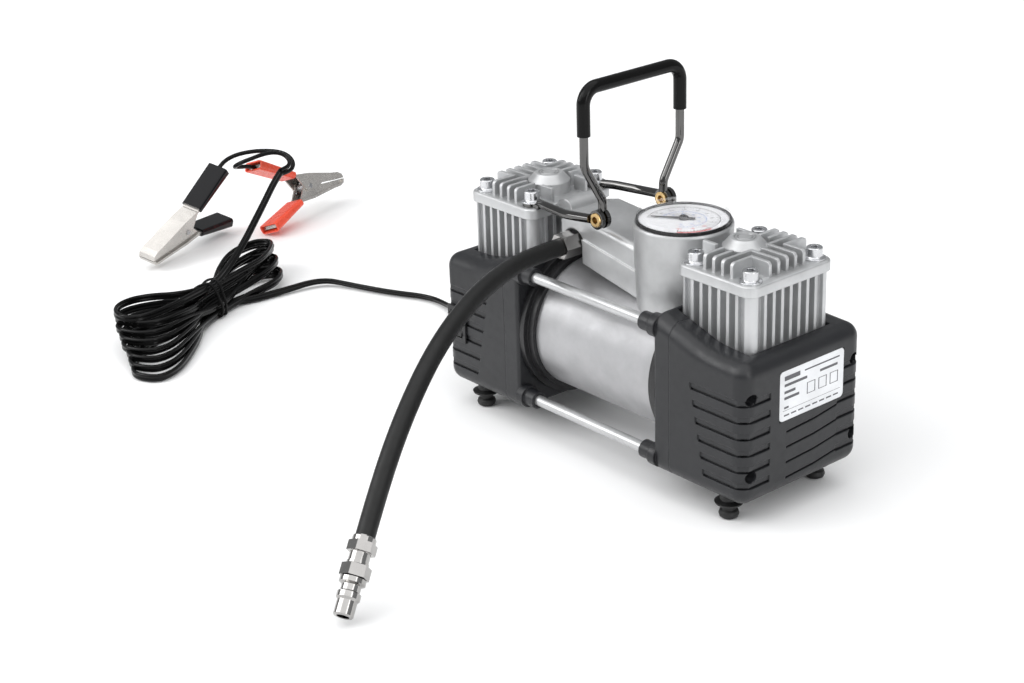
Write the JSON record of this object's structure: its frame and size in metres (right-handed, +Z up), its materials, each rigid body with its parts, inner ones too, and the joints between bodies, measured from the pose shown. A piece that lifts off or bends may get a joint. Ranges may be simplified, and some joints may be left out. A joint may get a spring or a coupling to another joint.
{
  "type": "twin cylinder car air compressor",
  "caption": "Low portable 12 V air compressor: finned air-cooled cylinders at both ends of one motor, a top gauge, a folding carry handle, an air hose and a lead with battery clamps.",
  "frame": {"origin": "on the floor, below the middle of the motor and of the body's box", "axes": "+X along the motor towards the stack with the rating plate, +Y to the back, +Z up; the hose leaves the front, at -Y"},
  "size_m": [0.5833, 0.3725, 0.2111],
  "materials": {
    "cap_plastic": "moulded, satin",
    "cast_alloy": "die cast, satin",
    "can_paint": "metallic silver",
    "manifold_paint": "die cast, painted satin silver",
    "shield_black": "moulded, satin",
    "chrome": "polished",
    "steel": "plain",
    "screw_zinc": "zinc plated",
    "brass": "polished",
    "copper": "enamelled wire",
    "laminations": "stacked sheet",
    "ferrite": "sintered",
    "carbon": "pressed graphite",
    "seal_black": "smooth",
    "foot_rubber": "matt",
    "hose_rubber": "matt",
    "nickel": "satin nickel",
    "gauge_black": "glossy",
    "dial_white": "printed",
    "needle": "satin",
    "lens_clear": "clear",
    "label_white": "satin film",
    "rocker_black": "glossy",
    "lead_vinyl": "soft vinyl",
    "sleeve_black": "soft vinyl",
    "sleeve_red": "soft vinyl",
    "grip_vinyl": "soft vinyl"
  },
  "bodies": {
    "compressor": {"motor_can": "can_paint", "end_shield_a": "shield_black", "end_shield_b": "shield_black", "field_magnets": "ferrite", "carbon_brushes": "carbon", "shaft_bearings": "steel", "cylinder_a": "cast_alloy", "cylinder_b": "cast_alloy", "head_a": "cast_alloy", "head_b": "cast_alloy", "head_screws": "screw_zinc", "inner_housing_a": "cap_plastic", "inner_housing_b": "cap_plastic", "outer_cover_a": "cap_plastic", "outer_cover_b": "cap_plastic", "cover_screws": "screw_zinc", "tie_rods": "screw_zinc", "rubber_feet": "foot_rubber", "rating_plate": "label_white", "manifold": "manifold_paint", "gauge_case": "gauge_black", "gauge_dial": "dial_white", "gauge_lens": "lens_clear", "hose_nut": "nickel", "air_hose": "hose_rubber", "hose_ferrule": "nickel", "quick_plug": "nickel", "handle_arms": "chrome", "handle_rivets": "brass", "switch_bezel": "shield_black", "lead_gland": "seal_black", "power_lead": "lead_vinyl", "lead_hank": "lead_vinyl", "lead_tail": "lead_vinyl", "lead_red": "lead_vinyl", "lead_black": "lead_vinyl", "clamp_levers_fixed": "nickel", "clamp_pins": "steel", "clamp_springs": "steel", "clamp_sleeve_red_fixed": "sleeve_red", "clamp_sleeve_black_fixed": "sleeve_black"},
    "rotor": {"motor_shaft": "steel", "armature_core": "laminations", "armature_windings": "copper", "commutator": "copper", "crank_discs": "steel"},
    "piston_unit_a": {"piston_a": "cast_alloy", "piston_seal_a": "seal_black", "crank_pin_a": "steel"},
    "piston_unit_b": {"piston_b": "cast_alloy", "piston_seal_b": "seal_black", "crank_pin_b": "steel"},
    "handle": {"handle_bail": "chrome", "handle_grip": "grip_vinyl"},
    "needle": {"gauge_needle": "needle"},
    "rocker": {"switch_rocker": "rocker_black"},
    "clamp_red": {"clamp_lever_red": "nickel", "clamp_sleeve_red_moving": "sleeve_red"},
    "clamp_black": {"clamp_lever_black": "nickel", "clamp_sleeve_black_moving": "sleeve_black"}
  },
  "joints": [
    {"name": "shaft_spin", "type": "hinge", "parent": "compressor", "child": "rotor", "pos_m": [0, 0, 0.059], "axis": [1, 0, 0], "continuous": true},
    {"name": "piston_slide_a", "type": "slide", "parent": "compressor", "child": "piston_unit_a", "axis": [0, 0, 1], "range_m": [-0.014, 0]},
    {"name": "piston_slide_b", "type": "slide", "parent": "compressor", "child": "piston_unit_b", "axis": [0, 0, 1], "range_m": [0, 0.014]},
    {"name": "handle_fold", "type": "hinge", "parent": "compressor", "child": "handle", "pos_m": [-0.007, 0, 0.1345], "axis": [0, 1, 0], "range_deg": [-65, 80]},
    {"name": "needle_turn", "type": "hinge", "parent": "compressor", "child": "needle", "pos_m": [0.031, 0, 0.135], "axis": [0, 0, -1], "range_deg": [0, 270]},
    {"name": "rocker_tip", "type": "hinge", "parent": "compressor", "child": "rocker", "pos_m": [-0.10625, -0.0431, 0.0515], "axis": [1, 0, 0], "range_deg": [-14, 0]},
    {"name": "clamp_red_open", "type": "hinge", "parent": "compressor", "child": "clamp_red", "pos_m": [-0.4453, 0.086, 0.0213], "axis": [-0.8971, -0.2832, -0.3391], "range_deg": [0, 25], "stiffness_Nm_per_rad": 0.02, "springref_deg": -34.38},
    {"name": "clamp_black_open", "type": "hinge", "parent": "compressor", "child": "clamp_black", "pos_m": [-0.4386, -0.024, 0.0188], "axis": [0.9202, 0.3358, -0.2013], "range_deg": [0, 25], "stiffness_Nm_per_rad": 0.02, "springref_deg": -34.38}
  ]
}
